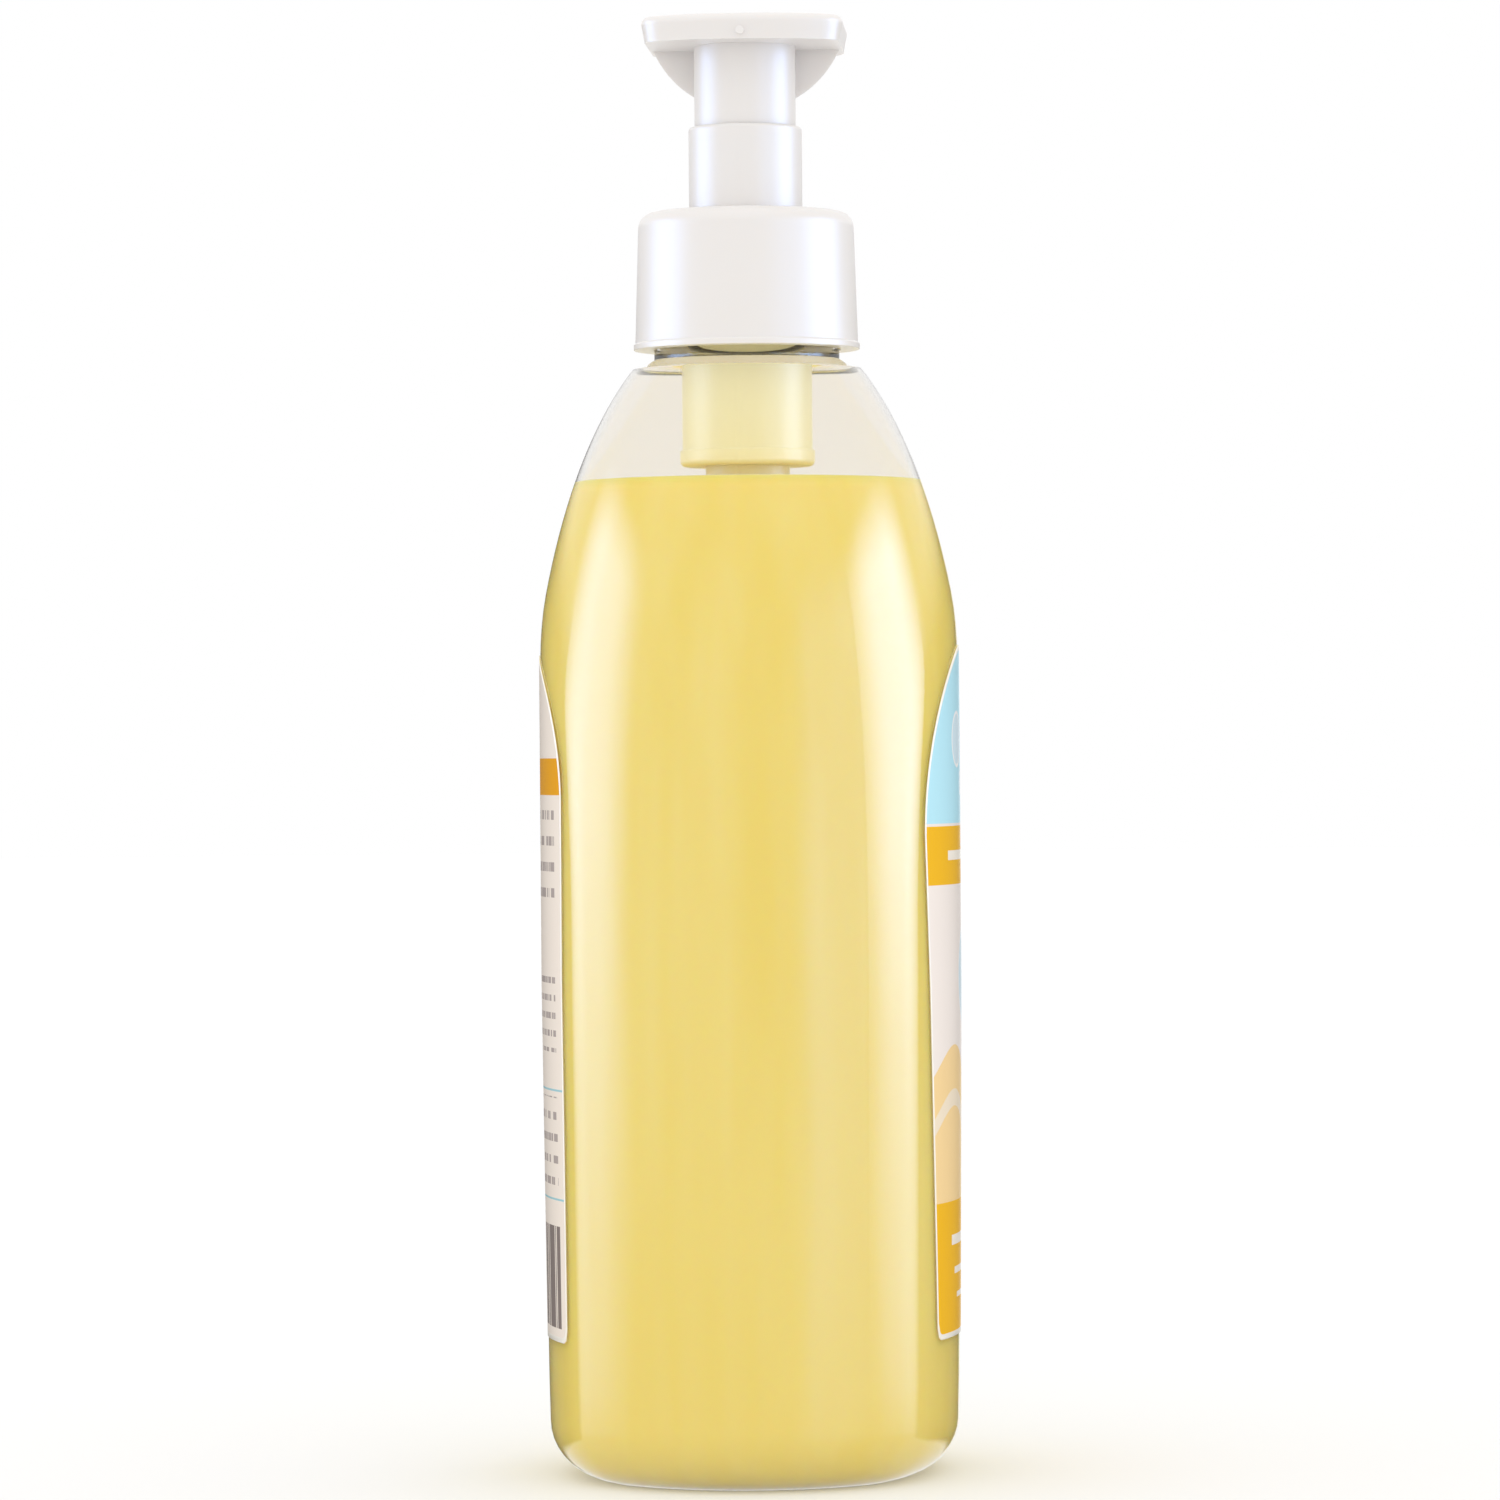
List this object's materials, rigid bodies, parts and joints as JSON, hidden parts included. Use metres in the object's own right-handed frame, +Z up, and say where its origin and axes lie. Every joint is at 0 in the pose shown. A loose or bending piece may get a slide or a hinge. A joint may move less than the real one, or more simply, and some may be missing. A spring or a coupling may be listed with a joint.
{
  "type": "hand soap pump bottle",
  "caption": "Clear oval hand soap bottle with yellow soap, label panels front and back, and a white screw-on lotion pump with spring-loaded press head.",
  "frame": {"origin": "centre of the foot, on the surface it stands on", "axes": "+Z up along the pump, -Y towards the front label, +X along the spout"},
  "size_m": [0.074, 0.0624, 0.2157],
  "materials": {
    "clear_pet": "clear blown PET, glossy",
    "liquid_soap": "pearly yellow liquid soap",
    "front_film": "printed film, semi-gloss",
    "back_film": "printed film, semi-gloss",
    "white_pp": "moulded white polypropylene, satin gloss",
    "foam_seal": "white foamed polyethylene",
    "natural_pp": "natural milky polypropylene",
    "natural_pe": "natural translucent polyethylene",
    "steel": "drawn stainless steel"
  },
  "bodies": {
    "bottle": {"bottle": "clear_pet", "soap_fill": "liquid_soap", "front_label": "front_film", "back_label": "back_film"},
    "pump_body": {"pump_housing": "natural_pp", "chaplet": "white_pp", "gasket": "foam_seal", "dip_tube": "natural_pe", "return_spring": "steel"},
    "collar": {"screw_collar": "white_pp"},
    "plunger": {"stem": "natural_pp", "piston_seat": "natural_pe"},
    "seal": {"piston": "natural_pe"},
    "head": {"pump_head": "white_pp"},
    "ball": {"inlet_ball": "steel"}
  },
  "joints": [
    {"name": "pump_lift", "type": "slide", "parent": "bottle", "child": "pump_body", "axis": [0, 0, 1], "range_m": [0, 0.00634]},
    {"name": "collar_turn", "type": "hinge", "parent": "pump_body", "child": "collar", "pos_m": [0, 0, 0.1776], "axis": [0, 0, 1], "range_deg": [0, 540]},
    {"name": "pump_press", "type": "slide", "parent": "pump_body", "child": "plunger", "axis": [0, 0, -1], "range_m": [0, 0.009], "stiffness_N_per_m": 700, "springref_m": -0.012, "deforming": ["return_spring"]},
    {"name": "head_swivel", "type": "hinge", "parent": "plunger", "child": "head", "pos_m": [0, 0, 0.2045], "axis": [0, 0, 1], "continuous": true},
    {"name": "piston_shift", "type": "slide", "parent": "plunger", "child": "seal", "axis": [0, 0, 1], "range_m": [0, 0.001]},
    {"name": "ball_lift", "type": "slide", "parent": "pump_body", "child": "ball", "axis": [0, 0, 1], "range_m": [0, 0.0015]}
  ],
  "couplings": [
    {"joint": "collar_turn", "follows": "pump_lift", "rad_per_m": 1485.4}
  ]
}
